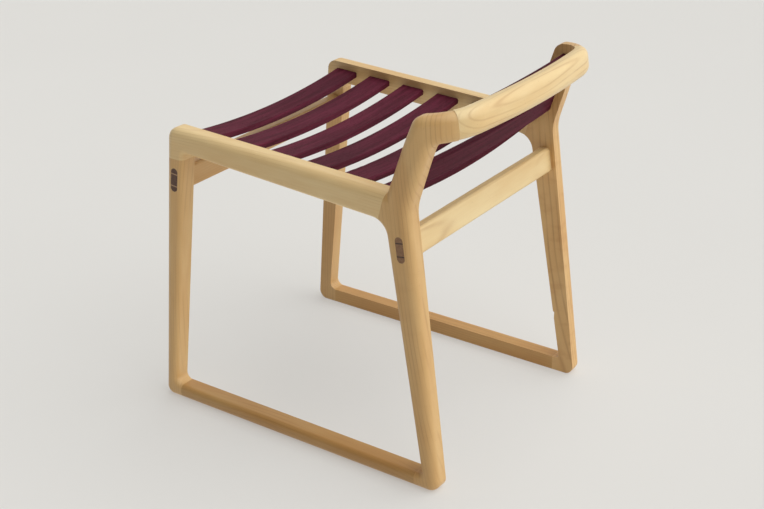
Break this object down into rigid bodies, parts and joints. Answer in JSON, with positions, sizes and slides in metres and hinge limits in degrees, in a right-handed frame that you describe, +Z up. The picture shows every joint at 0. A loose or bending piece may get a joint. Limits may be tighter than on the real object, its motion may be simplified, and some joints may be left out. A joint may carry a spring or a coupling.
{
  "type": "low-backed wooden chair",
  "caption": "Low-backed wooden chair on two sled-base side frames, with bent slats for seat and back and a curved back rail.",
  "frame": {"origin": "on the floor, at the middle of the chair's bounding box", "axes": "+Z up, -Y the front of the seat, +Y the back, X across the width; right-hand parts are on +X"},
  "size_m": [0.415, 0.5072, 0.5288],
  "materials": {
    "frame_wood": "pale maple, oiled to a soft satin",
    "slat_wood": "dark burgundy hardwood, satin",
    "tenon_wood": "dark brown end grain, flush with the frame",
    "light_wedge_wood": "pale wedge wood",
    "dark_wedge_wood": "dark wedge wood",
    "spline_wood": "raw, hidden inside the joints"
  },
  "bodies": {
    "root": {"right_front_leg": "frame_wood", "right_rear_post": "frame_wood", "right_seat_rail": "frame_wood", "right_floor_runner": "frame_wood", "left_front_leg": "frame_wood", "left_rear_post": "frame_wood", "left_seat_rail": "frame_wood", "left_floor_runner": "frame_wood", "front_cross_rail": "frame_wood", "rear_cross_rail": "frame_wood", "back_rail": "frame_wood", "lower_back_slat": "slat_wood", "upper_back_slat": "slat_wood", "seat_slat_1": "slat_wood", "seat_slat_2": "slat_wood", "seat_slat_3": "slat_wood", "seat_slat_4": "slat_wood", "seat_slat_5": "slat_wood", "seat_slat_6": "slat_wood", "right_front_tenon": "tenon_wood", "right_rear_tenon": "tenon_wood", "right_front_upper_wedge": "light_wedge_wood", "right_front_lower_wedge": "light_wedge_wood", "right_rear_upper_wedge": "dark_wedge_wood", "right_rear_lower_wedge": "dark_wedge_wood", "right_leg_to_seat_spline": "spline_wood", "right_leg_to_runner_spline": "spline_wood", "right_runner_to_post_spline": "spline_wood", "right_seat_to_post_spline": "spline_wood", "right_post_to_back_rail_spline": "spline_wood", "left_front_tenon": "tenon_wood", "left_rear_tenon": "tenon_wood", "left_front_upper_wedge": "light_wedge_wood", "left_front_lower_wedge": "light_wedge_wood", "left_rear_upper_wedge": "dark_wedge_wood", "left_rear_lower_wedge": "dark_wedge_wood", "left_leg_to_seat_spline": "spline_wood", "left_leg_to_runner_spline": "spline_wood", "left_runner_to_post_spline": "spline_wood", "left_seat_to_post_spline": "spline_wood", "left_post_to_back_rail_spline": "spline_wood"}
  },
  "joints": []
}
